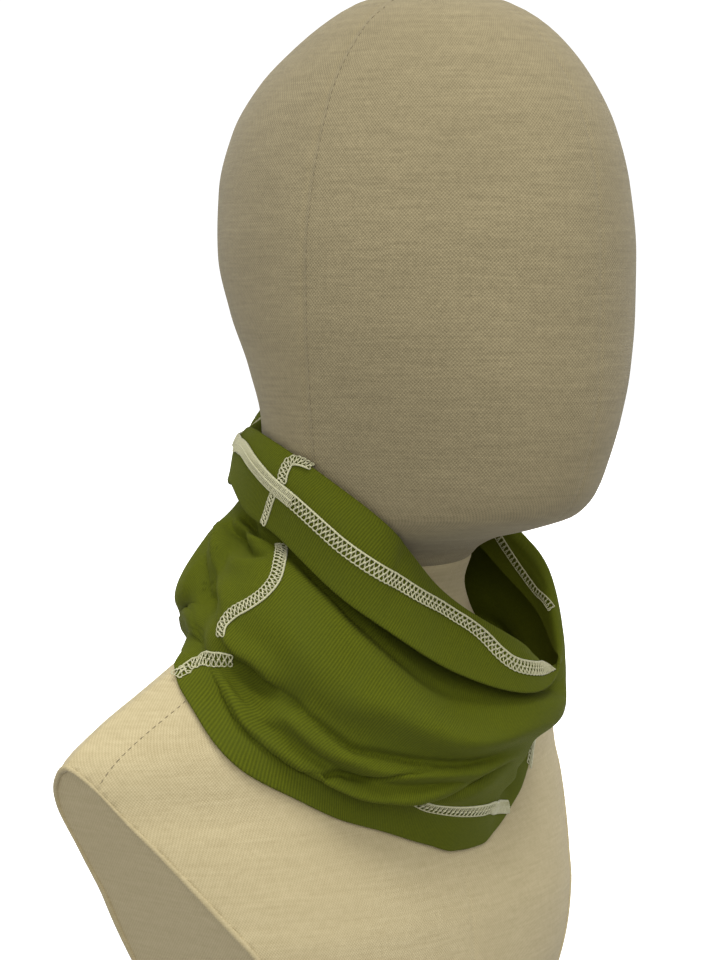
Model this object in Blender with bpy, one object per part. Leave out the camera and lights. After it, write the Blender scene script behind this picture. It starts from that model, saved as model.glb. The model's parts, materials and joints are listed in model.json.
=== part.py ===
"""Neck warmer worn by a limbless display form. The form faces -Y and stands on z = 0; the angle "round"
starts at the face and grows towards the wearer's right. Sizes in the tables are millimetres."""

import math

import bmesh
import bpy
import numpy as np
from mathutils import Matrix, Vector

# ---------------------------------------------------------------- named sizes and colours
OLIVE, KHAKI, BEIGE = (0.13, 0.17, 0.022), (0.46, 0.41, 0.31), (0.66, 0.57, 0.42)
MM = 0.001
HEM_DEPTH = 19.0  # rim to the stitching of each double-layer hem
HEM_WALL = 1.5
BODY_WALL = 1.1
SEAM_GAP = 0.36
STEPS = 10  # places along the cloth to each ring
HEM_ROWS = (7, 6)  # of the top hem and the bottom hem
CAP_TOP_HALF = 143.0  # half width of the bust where the arm-end cap starts
CAP_TOP_HEIGHT = 119.0
CAP_SLOPE = 0.64
RING_SEAM_FRONT = (44.0, 202.0)  # how far in front of the neck's axis, and how high
RING_SEAM_SLOPE = 0.2126
FORM_COLUMNS = 48
FORM_ROW = 11.0  # about the height of the form's rows
FINE = np.linspace(0, 2 * math.pi, 721)[:-1]

# The form's level sections: height, half width, middle, front, back (distances in front of the neck's
# axis), and how much the front and the back narrow towards the sides (1 is an ellipse).
FORM = np.array([
    (0, 108, -8, 62, -60, 1, 1),
    (30, 122, -8, 66, -65, 1, 1),
    (52, 130, -8, 65, -68, 1.1, 1),
    (65, 133, -8, 62, -70, 1.2, 1),
    (84, 141, -12, 55, -72, 1.33, 1),
    (97, 147, -16, 50, -72, 1.47, 1),
    (106, 151, -20, 47, -69, 1.6, 1),
    (116, 154, -22, 45, -65, 1.7, 1.1),
    (128, 149, -21, 43, -60, 1.7, 1.2),
    (140, 134, -20, 41, -56, 1.7, 1.33),
    (152, 113, -18, 39, -52, 1.65, 1.33),
    (166, 88, -14, 37, -47, 1.47, 1.2),
    (176, 70, -8, 36.5, -43, 1.2, 1.1),
    (186, 56, -2, 37.5, -41, 1, 1),
    (196, 49, 4, 41, -40, 1, 1),
    (206, 48.5, 9, 47, -39.5, 1, 1),
    (213, 49.5, 12, 62, -39, 1, 1),
    (219, 51, 14, 88, -38.5, 1, 1),
    (226, 53.5, 17, 110, -37.5, 1, 1),
    (235, 57, 20, 119, -35.5, 1, 1),
    (248, 61.5, 25, 124, -32.5, 1, 1),
    (265, 67, 31, 128, -31, 1, 1),
    (285, 72.5, 35, 130.5, -37, 1, 1),
    (308, 76, 38, 131, -50, 1, 1),
    (332, 76.5, 39, 131, -59.5, 1, 1),
    (360, 73.5, 39, 128.5, -61, 1, 1),
    (384, 67.5, 39, 122.5, -55, 1, 1),
    (404, 59.5, 39, 112, -40, 1, 1),
    (418, 50.5, 39, 101, -22, 1, 1),
    (429, 40, 39, 88, -5, 1, 1),
    (436, 29, 39, 74, 8, 1, 1),
    (440, 17, 39, 60, 20, 1, 1),
], float)
CROWN_FRONT, CROWN_HEIGHT = 39.0, 441.5

# The cloth's rings, from the rim of the turned-over top down to the stitching of the bottom hem. Each
# has its turn about the neck in degrees, its least clearance to the form, and its radii and heights at
# the places in ROUND.
ROUND = np.array((-43, -36, -28, -13, 17, 47, 77, 92, 107, 137, 167, 182, 197, 227, 257, 272, 287, 302), float)
RINGS = (
    ("rim", 8, 2.5,
     (84, 85.5, 86.5, 87, 79, 80, 70, 66, 61.5, 55.5, 62, 64, 58, 46, 60, 67, 73, 80),
     (163, 161, 156, 151.5, 162.5, 189, 219, 226.5, 236.5, 235, 244, 262, 280, 262, 226, 210, 193, 178)),
    ("crest", 0, 2.5,
     (87.5, 84.8, 81.5, 79, 64, 74, 62, 57, 52, 47, 44, 45, 48, 60, 70, 75, 80, 85.5),
     (161, 157, 158, 169.5, 195.5, 231.5, 254, 258.5, 259.5, 258.5, 263, 265, 264, 256, 242, 228.5, 212, 194.5)),
    ("collar", 0, 2.2,
     (88.2, 85.8, 79.5, 75.5, 60, 70, 59, 54, 49, 43, 41, 43, 49, 62, 73, 78, 83, 87.5),
     (154.5, 150, 151, 160, 186.5, 222.5, 245, 249.5, 250.5, 249.5, 254, 256, 257, 248, 232, 218, 202, 184)),
    ("throat", 0, 2.2,
     (88.5, 86.8, 80.5, 73, 55, 54, 55, 51, 47, 42, 41, 43, 50, 64, 76, 81.5, 86, 88.5),
     (151.5, 147.5, 148.5, 153, 172.5, 204, 229, 235, 237.5, 237, 242, 242.5, 242.5, 234, 218, 207, 194, 176)),
    ("tuck", 0, 4,
     (88.5, 88, 85.5, 79, 66, 64, 62, 60, 57, 53, 52, 51, 53, 68, 80, 85, 88, 89),
     (149, 145.5, 146, 149.5, 159, 185.5, 212.5, 220.5, 225, 225, 230, 229, 228, 220, 204, 196, 186, 169)),
    ("roll top", 0, 6,
     (88.5, 88.5, 88.5, 86, 80, 76, 70, 69, 68, 66, 64, 64, 65, 76, 86, 89, 90, 89.5),
     (146, 143.5, 144, 145, 144, 178.5, 209.5, 213.5, 215.5, 209.5, 204, 203, 202, 198, 194, 184, 172, 160)),
    ("belly", 0, 6,
     (87.5, 88, 88.5, 88, 87, 86, 84, 82, 80, 76.5, 73, 73, 74, 82, 86, 90, 90, 88.5),
     (141, 139, 138.5, 137.5, 135, 157.5, 191, 193.5, 188.5, 176, 176, 176, 177, 180, 183, 177, 160, 144)),
    ("valley", 0, 5,
     (74, 75, 76, 78, 79, 82, 88, 90.5, 80, 76, 72, 72, 73, 80.5, 85, 91, 88, 79),
     (128, 127, 126, 126.5, 124, 131.5, 163.5, 173.5, 185, 171, 169, 169, 170, 174, 180.5, 171, 152, 132.5)),
    ("small roll", 0, 5,
     (69, 71, 73, 77, 82, 84, 88, 90.5, 80, 75, 70.5, 70.5, 71.5, 79, 84.5, 92, 87, 75.5),
     (122, 121, 120, 123, 120.5, 127, 155.5, 172, 183, 169.5, 166.5, 166, 167, 171.5, 178.8, 168.5, 147.5, 127.5)),
    ("slit", 0, 4,
     (66, 68, 69, 75, 77, 77, 87, 90.5, 80, 74, 68.5, 68.5, 69.5, 77.5, 84.3, 93, 86.8, 72.5),
     (117, 116, 114, 120.5, 117, 120, 147.5, 170.5, 181, 168, 164.5, 164, 165, 169.5, 177.3, 166.5, 143.5, 123.5)),
    ("low roll", 0, 4.5,
     (64, 66, 68, 73.5, 78, 80, 89, 91, 80.3, 72.5, 66, 66, 67, 75.5, 84.3, 94.5, 87.5, 71.5),
     (112, 111, 110, 118, 113, 113, 143, 169, 179, 166.5, 162.5, 162, 163, 167.5, 175.7, 164, 139.5, 120)),
    ("hem stitching", 0, 3,
     (62, 62, 62, 64, 66, 70, 88, 91.5, 80.8, 69.5, 61, 61, 62, 72, 84.6, 96, 88.5, 72),
     (111, 108, 104.8, 99.9, 103.8, 115.5, 139.5, 167.5, 176.5, 164.5, 159.5, 159, 160, 164.5, 173.5, 161, 134, 115.5)),
)
# The bottom hem lies on the form. Its edge's height, by the angle from its lowest place.
HEM_LOWEST_ROUND = -5.0
HEM_LEFT_STEEPER = 1.17  # on the wearer's left the edge rises this much sooner
HEM_EDGE = np.array([
    (-0.01, 83.5), (10, 84), (21, 87.5), (31, 91), (42, 95.5), (59, 103), (72, 114), (80, 123.5), (86, 135),
    (92, 147), (98.5, 157), (104, 164), (110, 168), (122, 167), (142, 160), (172, 154), (180, 153.5),
], float)
HEM_EDGE_CLEARANCE = 1.8
LEAST_CLEARANCE = 1.7
CREST_RADIUS = 2.2  # of the rounded fold where the top turns over
RING_EASING, LINE_EASING = 2.0, 0.55  # how softly rings and lines meet their least radius

# Where the columns stand round the neck: closest where the top changes from outside to inside.
COLUMNS = np.concatenate([np.arange(-66, -12, 3), np.linspace(-12, 294, 54, endpoint=False)])

# Where the body has its rows, as places along the rings; the crest's fold adds two to the list above.
ROWS = np.array([0.4, 0.6, 0.8, 1, 1.6, 2, 2.4, 3, 3.5, 4, 4.5, 5, 5.5, 6, 6.5, 7, 7.25, 7.5, 7.75, 8, 8.25, 8.5,
                 8.75, 9, 9.5, 10, 10.5, 11, 11.5, 12, 12.35, 12.7, 13], float)
MIDDLE_ROW = 15

FIRST_ROWS_EVEN, LAST_ROWS_EVEN = 0.6, 0.4  # 1 spaces them evenly, 0 leaves them on the folds

# Troughs pressed into the body: places (round, height) along each, its half width and its depth.
TROUGHS = (
    (((97, 228), (96.5, 208), (97, 169)), 7.0, 5.0),
    (((92, 226), (84, 219), (77, 215)), 4.5, 2.5),
    (((82, 165), (75, 158), (67, 151)), 6.0, 3.5),
)
TROUGH_RADIUS = 78.0  # turns places round into millimetres
TROUGH_RINGS = (5, 7)  # the troughs start between these places along the rings
TROUGH_FOOT = (140.0, 150.0)  # and end between these heights


# ---------------------------------------------------------------- curves
def monotone(x, y, at):
    """Monotone cubic through the rows of y at x."""
    step = np.diff(x).reshape(-1, *[1] * (y.ndim - 1))
    slope = np.diff(y, axis=0) / step
    tangent = np.zeros_like(y)
    tangent[0], tangent[-1] = slope[0], slope[-1]
    before, after = slope[:-1], slope[1:]
    same = before * after > 0
    wide, near = 2 * step[1:] + step[:-1], step[1:] + 2 * step[:-1]
    safe = np.where(same, before, 1), np.where(same, after, 1)
    tangent[1:-1] = np.where(same, (wide + near) / (wide / safe[0] + near / safe[1]), 0)
    return hermite(x, y, tangent, np.asarray(at, float))


def hermite(x, y, tangent, at):
    i = np.clip(np.searchsorted(x, at, side="right") - 1, 0, len(x) - 2)
    gap = x[i + 1] - x[i]
    t = (at - x[i]) / gap
    if y.ndim > 1:
        t, gap = t[:, None], gap[:, None]
    return (
        (2 * t**3 - 3 * t**2 + 1) * y[i] + (t**3 - 2 * t**2 + t) * gap * tangent[i]
        + (3 * t**2 - 2 * t**3) * y[i + 1] + (t**3 - t**2) * gap * tangent[i + 1]
    )


def all_round(values, at):
    """Smooth closed curve through values at ROUND."""
    values = np.asarray(values, float)
    x = np.concatenate([ROUND[-3:] - 360, ROUND, ROUND[:3] + 360])
    y = np.concatenate([values[-3:], values, values[:3]])
    return hermite(x, y, np.gradient(y, x), (at - ROUND[0]) % 360 + ROUND[0])


# ---------------------------------------------------------------- display form
def section(height, angle):
    """x and distance in front of the neck's axis, of the form's outline at this height."""
    half, middle, front, back, p_front, p_back = monotone(FORM[:, 0], FORM[:, 1:], [height])[0]
    c = np.cos(angle)
    power = np.where(c > 0, p_front, p_back)
    depth = np.where(c > 0, front - middle, middle - back)
    return half * np.sin(angle), middle + depth * np.sign(c) * np.abs(c) ** power


_radii = {}


def level_radii(height):
    """(places round, radii) of the form at a whole height."""
    if height not in _radii:
        x, front = section(height, FINE)
        cut = CAP_TOP_HALF + (height - CAP_TOP_HEIGHT) * CAP_SLOPE
        x = np.clip(x, -cut, cut)
        place = np.degrees(np.arctan2(-x, front)) % 360
        order = np.argsort(place)
        _radii[height] = place[order], np.hypot(x, front)[order]
    return _radii[height]


def form_radius(around, height):
    """The form's radius from the neck's axis, towards this place round."""
    height = float(np.clip(height, 0, 439))
    low = int(height)
    ends = [np.interp(np.asarray(around) % 360, *level_radii(k), period=360) for k in (low, low + 1)]
    return ends[0] + (ends[1] - ends[0]) * (height - low)


def clear_radius(around, height, clearance):
    """The least radius that keeps this clearance, measured square to the form."""
    radius = form_radius(around, height)
    up = (form_radius(around, height + 2) - form_radius(around, height - 2)) / 4
    across = (form_radius(around + 2, height) - form_radius(around - 2, height)) / (math.radians(4) * radius)
    return float(radius + clearance * math.sqrt(1 + up**2 + across**2))


def new_object(name, mesh, colour, roughness):
    material = bpy.data.materials.new(name)
    material.use_nodes = True
    shader = material.node_tree.nodes["Principled BSDF"]
    shader.inputs["Base Color"].default_value = (*colour, 1)
    shader.inputs["Roughness"].default_value = roughness
    made = bpy.data.objects.new(name, mesh)
    made.data.materials.append(material)
    bpy.context.scene.collection.objects.link(made)
    return made


def to_mesh(name, bm):
    bmesh.ops.triangulate(bm, faces=bm.faces[:])
    bmesh.ops.recalc_face_normals(bm, faces=bm.faces[:])
    mesh = bpy.data.meshes.new(name)
    bm.to_mesh(mesh)
    bm.free()
    return mesh


def form_heights():
    rows = []
    for low, high in zip(FORM[:-1, 0], FORM[1:, 0]):
        count = max(1, round((high - low) / FORM_ROW))
        rows += [low + (high - low) * k / count for k in range(count)]
    return rows + [FORM[-1, 0]]


def whole_form():
    bm = bmesh.new()
    angles = np.arange(FORM_COLUMNS) * 2 * math.pi / FORM_COLUMNS
    rings = []
    for height in form_heights():
        x, front = section(height, angles)
        rings.append([bm.verts.new((a * MM, -b * MM, height * MM)) for a, b in zip(x, front)])
    for low, high in zip(rings, rings[1:]):
        for k in range(FORM_COLUMNS):
            n = (k + 1) % FORM_COLUMNS
            bm.faces.new((low[k], low[n], high[n], high[k]))
    bm.faces.new(rings[0])
    crown = bm.verts.new((0, -CROWN_FRONT * MM, CROWN_HEIGHT * MM))
    for k in range(FORM_COLUMNS):
        bm.faces.new((rings[-1][k], rings[-1][(k + 1) % FORM_COLUMNS], crown))
    bmesh.ops.recalc_face_normals(bm, faces=bm.faces[:])
    return bm


def cut_away(bm, place, normal):
    """Removes what lies on the normal's side of the plane, and closes the cut with a flat face."""
    bmesh.ops.bisect_plane(bm, geom=bm.verts[:] + bm.edges[:] + bm.faces[:], dist=1e-6,
                           plane_co=place, plane_no=normal, clear_outer=True)
    bmesh.ops.holes_fill(bm, edges=[e for e in bm.edges if e.is_boundary], sides=0)


def build_form():
    front, height = RING_SEAM_FRONT
    seam = Vector((0, -front * MM, height * MM))
    up = Vector((0, -RING_SEAM_SLOPE, 1)).normalized()
    head = whole_form()
    cut_away(head, seam + up * SEAM_GAP / 2 * MM, -up)
    new_object("form_head", to_mesh("form_head", head), KHAKI, 0.9)
    bust = whole_form()
    cut_away(bust, seam - up * SEAM_GAP / 2 * MM, up)
    for side in (-1, 1):
        outward = Vector((side, 0, -CAP_SLOPE)).normalized()
        cut_away(bust, Vector((side * CAP_TOP_HALF * MM, 0, CAP_TOP_HEIGHT * MM)), outward)
    new_object("form_bust", to_mesh("form_bust", bust), BEIGE, 0.9)


# ---------------------------------------------------------------- cloth
def hem_height(around):
    from_lowest = (np.asarray(around, float) - HEM_LOWEST_ROUND + 180) % 360 - 180
    steeper = np.interp(-from_lowest, [0, 50, 120, 180], [1, HEM_LEFT_STEEPER, HEM_LEFT_STEEPER, 1])
    away = np.where(from_lowest < 0, np.minimum(-from_lowest * steeper, 180), from_lowest)
    return monotone(HEM_EDGE[:, 0], HEM_EDGE[:, 1], away)


def never_less(radius, least, easing):
    return (radius + least + np.sqrt((radius - least) ** 2 + easing**2)) / 2


def ring_points(around, radius, height, clearance):
    least = np.array([clear_radius(a, h, clearance) for a, h in zip(around, height)])
    radius = never_less(radius, least, RING_EASING)
    turn = np.radians(around)
    return np.stack([-radius * np.sin(turn), -radius * np.cos(turn), height], -1)


def keep_clear(points, clearance):
    """Moves points outwards, away from the form, where they come nearer than this."""
    around = np.degrees(np.arctan2(-points[..., 0], -points[..., 1]))
    radius = np.hypot(points[..., 0], points[..., 1])
    least = [clear_radius(a, h, clearance) for a, h in zip(around.ravel(), points[..., 2].ravel())]
    wanted = never_less(radius, np.reshape(least, radius.shape), LINE_EASING)
    points[..., :2] *= (wanted / radius)[..., None]
    return points


def unit(v):
    return v / np.linalg.norm(v, axis=-1, keepdims=True)


def control_rings(columns):
    rings = []
    for _, turn, clearance, radius, height in RINGS:
        around = columns + turn
        rings.append(ring_points(around, all_round(radius, around), all_round(height, around), clearance))
    rings.append(ring_points(columns, 0 * columns, hem_height(columns), HEM_EDGE_CLEARANCE))
    rim, crest, collar = rings[:3]
    out, down = unit(rim - crest), unit(collar - crest)
    outer = crest + CREST_RADIUS * (unit(out - down) + (out + down) / 2)
    inner = crest + CREST_RADIUS * (-unit(out - down) + (out + down) / 2)
    return np.array([rim, outer, crest, inner, *rings[2:]])


def along_cloth(rings):
    """Smooth lines through the rings, from the rim to the bottom edge, STEPS to each ring."""
    apart = np.linalg.norm(np.diff(rings, axis=0), axis=-1)
    at = np.concatenate([np.zeros((1, rings.shape[1])), np.cumsum(np.maximum(apart, 0.5), axis=0)])
    tangent = np.stack([np.gradient(rings[:, k], at[:, k], axis=0) for k in range(rings.shape[1])], 1)
    t = (np.arange(STEPS) / STEPS)[:, None, None]
    lines = []
    for k in range(len(rings) - 1):
        gap = (at[k + 1] - at[k])[None, :, None]
        lines.append((2 * t**3 - 3 * t**2 + 1) * rings[k] + (t**3 - 2 * t**2 + t) * gap * tangent[k]
                     + (3 * t**2 - 2 * t**3) * rings[k + 1] + (t**3 - t**2) * gap * tangent[k + 1])
    return np.concatenate([*lines, rings[-1:]])


def press_troughs(lines):
    """Moves the body's points inwards along the troughs."""
    around = np.degrees(np.arctan2(-lines[..., 0], -lines[..., 1])) % 360
    radius = np.hypot(lines[..., 0], lines[..., 1])
    flat = np.stack([np.radians(around) * TROUGH_RADIUS, lines[..., 2]], -1)
    place = np.arange(len(lines))[:, None] / STEPS
    keep = np.interp(place, TROUGH_RINGS, (0, 1)) * np.interp(lines[..., 2], TROUGH_FOOT, (0, 1))
    for places, half_width, depth in TROUGHS:
        line = np.array(places, float)
        line[:, 0] = np.radians(line[:, 0]) * TROUGH_RADIUS
        nearest = np.full(radius.shape, np.inf)
        for a, b in zip(line, line[1:]):
            t = np.clip(((flat - a) @ (b - a)) / ((b - a) @ (b - a)), 0, 1)
            nearest = np.minimum(nearest, np.linalg.norm(flat - a - t[..., None] * (b - a), axis=-1))
        inwards = depth * np.exp(-((nearest / half_width) ** 2))
        lines[..., :2] *= (1 - inwards * keep / radius)[..., None]
    return lines


def normals_of(lines):
    across = np.roll(lines, -1, axis=1) - np.roll(lines, 1, axis=1)
    square = unit(np.cross(np.gradient(lines, axis=0), across))
    for _ in range(3):  # evened out, so that the wall's sides don't cross in a tight fold
        square = unit(square + (np.roll(square, -1, axis=1) + np.roll(square, 1, axis=1)) / 2)
        square[1:-1] = unit(square[1:-1] + (square[2:] + square[:-2]) / 2)
    return square


def body_rows(on_folds, first, last):
    """Distances of the body's rows from the rim: on the folds, and pushed together next to the hems."""
    count = len(ROWS)
    index = np.arange(count)[:, None]
    middle = on_folds[MIDDLE_ROW]
    rows = np.maximum(on_folds, first + index * FIRST_ROWS_EVEN * (middle - first) / MIDDLE_ROW)
    after = count - 1 - index
    rows = np.minimum(rows, last - after * LAST_ROWS_EVEN * (last - middle) / after[MIDDLE_ROW])
    rows[0], rows[-1] = first, last
    return rows


def wall(name, lines, normals, length, rows, thickness):
    """A closed wall of this thickness about the rows, which run round the neck."""
    points, square = np.empty((*rows.shape, 3)), np.empty((*rows.shape, 3))
    for k in range(rows.shape[1]):
        for axis in range(3):
            points[:, k, axis] = np.interp(rows[:, k], length[:, k], lines[:, k, axis])
            square[:, k, axis] = np.interp(rows[:, k], length[:, k], normals[:, k, axis])
    square = unit(square)
    bm = bmesh.new()
    sides = [
        [[bm.verts.new(p * MM) for p in row] for row in points + square * (side * thickness / 2)]
        for side in (-1, 1)
    ]
    count, columns = rows.shape
    for side in sides:
        for i in range(count - 1):
            for k in range(columns):
                n = (k + 1) % columns
                bm.faces.new((side[i][k], side[i][n], side[i + 1][n], side[i + 1][k]))
    for i in (0, count - 1):
        for k in range(columns):
            n = (k + 1) % columns
            bm.faces.new((sides[0][i][k], sides[0][i][n], sides[1][i][n], sides[1][i][k]))
    bmesh.ops.recalc_face_normals(bm, faces=bm.faces[:])
    new_object(name, to_mesh(name, bm), OLIVE, 0.85)


def build_cloth():
    lines = keep_clear(press_troughs(along_cloth(control_rings(COLUMNS))), LEAST_CLEARANCE)
    normals = normals_of(lines)
    length = np.linalg.norm(np.diff(lines, axis=0), axis=-1).cumsum(axis=0)
    length = np.concatenate([np.zeros((1, len(COLUMNS))), length])
    whole = length[-1]
    on_folds = np.array([np.interp(ROWS, np.arange(len(lines)) / STEPS, column) for column in length.T]).T
    hem, seam = HEM_DEPTH - SEAM_GAP / 2, HEM_DEPTH + SEAM_GAP / 2
    top = np.linspace(0, hem, HEM_ROWS[0])[:, None] + 0 * whole
    bottom = whole - np.linspace(hem, 0, HEM_ROWS[1])[:, None]
    body = body_rows(on_folds, seam + 0 * whole, whole - seam)
    wall("top_hem", lines, normals, length, top, HEM_WALL)
    wall("tube_body", lines, normals, length, body, BODY_WALL)
    wall("bottom_hem", lines, normals, length, bottom, HEM_WALL)


def centre_on_origin():
    corners = np.array([v.co for o in bpy.data.objects for v in o.data.vertices])
    low, high = corners.min(0), corners.max(0)
    shift = Matrix.Translation((-(low[0] + high[0]) / 2, -(low[1] + high[1]) / 2, -low[2]))
    for made in bpy.data.objects:
        made.data.transform(shift)


for old in list(bpy.data.objects):
    bpy.data.objects.remove(old)
build_form()
build_cloth()
centre_on_origin()
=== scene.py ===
# Neck warmer on a display form: its looks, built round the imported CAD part. The form faces -Y.
# "round" is an angle about the neck, 0 at the face and growing towards the wearer's right.
# "place" counts along the cloth, from 0 at the rim of the turned-over top to 14 at the bottom edge.
import json
import math

import bmesh
import bpy
import numpy as np
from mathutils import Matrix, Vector

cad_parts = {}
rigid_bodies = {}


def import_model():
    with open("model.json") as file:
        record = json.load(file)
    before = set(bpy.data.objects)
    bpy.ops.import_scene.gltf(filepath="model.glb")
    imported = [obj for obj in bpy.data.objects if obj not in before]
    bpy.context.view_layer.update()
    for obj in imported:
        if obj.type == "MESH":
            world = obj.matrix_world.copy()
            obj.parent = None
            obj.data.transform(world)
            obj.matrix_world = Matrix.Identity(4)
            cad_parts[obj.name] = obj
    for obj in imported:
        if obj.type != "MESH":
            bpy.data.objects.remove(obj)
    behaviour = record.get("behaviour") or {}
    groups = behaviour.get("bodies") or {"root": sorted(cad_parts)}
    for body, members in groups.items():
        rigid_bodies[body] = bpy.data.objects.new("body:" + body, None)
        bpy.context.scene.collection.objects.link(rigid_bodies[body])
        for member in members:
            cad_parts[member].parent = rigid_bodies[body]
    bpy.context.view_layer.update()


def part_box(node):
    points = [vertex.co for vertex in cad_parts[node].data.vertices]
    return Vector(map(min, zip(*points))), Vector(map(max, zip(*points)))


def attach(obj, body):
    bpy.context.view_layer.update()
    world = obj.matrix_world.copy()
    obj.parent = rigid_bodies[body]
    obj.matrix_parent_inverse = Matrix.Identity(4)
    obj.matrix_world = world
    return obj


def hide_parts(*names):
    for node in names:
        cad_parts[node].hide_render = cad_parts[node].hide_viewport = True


for old in list(bpy.data.objects):
    bpy.data.objects.remove(old)
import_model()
mm = 0.001
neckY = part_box("form_head")[0].y + 0.131  # the face reaches 131 mm in front of the neck's axis


# ---- small helpers
def linear(hexColour):
    parts = [int(hexColour[i:i + 2], 16) / 255 for i in (1, 3, 5)]
    return (*[c / 12.92 if c <= 0.04045 else ((c + 0.055) / 1.055) ** 2.4 for c in parts], 1.0)


def addNode(tree, kind, links=None, **settings):
    # links: socket name or number -> a value, or another node's output socket
    node = tree.nodes.new(kind)
    for name, value in settings.items():
        setattr(node, name, value)
    for name, value in (links or {}).items():
        if isinstance(value, bpy.types.NodeSocket):
            tree.links.new(value, node.inputs[name])
        else:
            node.inputs[name].default_value = value
    return node


def unit(v):
    return v / np.maximum(np.linalg.norm(v, axis=-1, keepdims=True), 1e-9)


def bend(t, gap, start, startSlope, end, endSlope):  # a smooth step from start to end, t from 0 to 1
    return ((2 * t**3 - 3 * t**2 + 1) * start + (t**3 - 2 * t**2 + t) * gap * startSlope
            + (3 * t**2 - 2 * t**3) * end + (t**3 - t**2) * gap * endSlope)


def hermite(x, y, tangent, at):
    i = np.clip(np.searchsorted(x, at, side="right") - 1, 0, len(x) - 2)
    gap = x[i + 1] - x[i]
    t = (at - x[i]) / gap
    if y.ndim > 1:
        t, gap = t[:, None], gap[:, None]
    return bend(t, gap, y[i], tangent[i], y[i + 1], tangent[i + 1])


def smoothPath(path, count):  # this many places on a smooth curve through the path's points
    points = np.array(path, float)
    at = np.linspace(0, len(points) - 1, count)
    return hermite(np.arange(len(points), dtype=float), points, np.gradient(points, axis=0), at)


def runAlong(line):
    return np.concatenate([[0], np.linalg.norm(np.diff(line, axis=0), axis=-1).cumsum()])


def readAlong(at, run, values):
    return np.stack([np.interp(at, run, values[:, k]) for k in range(3)], -1)


def monotone(x, y, at):  # smooth through the rows of y, with no overshoot
    step = np.diff(x).reshape(-1, *[1] * (y.ndim - 1))
    slope = np.diff(y, axis=0) / step
    tangent = np.zeros_like(y)
    tangent[0], tangent[-1] = slope[0], slope[-1]
    before, after = slope[:-1], slope[1:]
    same = before * after > 0
    wide, near = 2 * step[1:] + step[:-1], step[1:] + 2 * step[:-1]
    tangent[1:-1] = np.where(same, (wide + near) / (wide / np.where(same, before, 1)
                                                    + near / np.where(same, after, 1)), 0)
    return hermite(x, y, tangent, np.asarray(at, float))


def newObject(name, data):
    made = bpy.data.objects.new(name, data)
    bpy.context.scene.collection.objects.link(made)
    return made


def plainObject(name, mesh, material):
    mesh.materials.append(material)
    return newObject(name, mesh)


def gridMesh(name, points, uv, closedDown=False):
    # points: rows x columns x 3 in mm about the neck's axis, closed round; uv: rows x (columns + 1) x 2
    rows, columns = points.shape[:2]
    down = rows if closedDown else rows - 1
    i, k = np.meshgrid(np.arange(down), np.arange(columns), indexing="ij")
    below, beside = (i + 1) % rows, (k + 1) % columns
    upper, lower = i * columns, below * columns
    faces = np.stack([upper + k, upper + beside, lower + beside, lower + k], -1)
    mesh = bpy.data.meshes.new(name)
    mesh.from_pydata((points.reshape(-1, 3) * mm + (0, neckY, 0)).tolist(), [], faces.reshape(-1, 4).tolist())
    corners = np.stack([uv[i, k], uv[i, k + 1], uv[below, k + 1], uv[below, k]], 2)
    layer = mesh.uv_layers.new(name="thread")
    layer.data.foreach_set("uv", corners.reshape(-1).astype(np.float32))
    mesh.shade_smooth()
    return mesh


# ---- materials
def startMaterial(name, roughness, sheen=0.0):
    material = bpy.data.materials.new(name)
    material.use_nodes = True
    tree = material.node_tree
    shader = tree.nodes["Principled BSDF"]
    shader.inputs["Roughness"].default_value = roughness
    shader.inputs["Sheen Weight"].default_value = sheen
    shader.inputs["Sheen Roughness"].default_value = 0.5
    return material, tree, shader


def finishMaterial(tree, shader, colour, relief, strength, height):
    tree.links.new(colour.outputs[2], shader.inputs["Base Color"])
    bump = addNode(tree, "ShaderNodeBump", {
        "Height": relief.outputs[0], "Strength": strength, "Distance": height * mm})
    tree.links.new(bump.outputs[0], shader.inputs["Normal"])


jersey = {
    "light": "#5c630d", "dark": "#3f4507",  # olive yarn, top of a wale and the groove beside it
    "patch": "#4c5413", "sheen": "#8a8f20",  # faint cloudy dyeing, and the bloom
    "walesRound": 540,  # about 0.97 mm each: two thirds wider than real ones, so that a pixel can show them
    "courseLength": 0.9, "courseLean": 0.9, "courseShare": 0.14,  # each course leans across the wale
    "cloudScale": 55.0, "fuzzScale": 900.0, "fuzzShare": 0.8,
    "bump": 0.35, "bumpHeight": 0.3,
}


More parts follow.
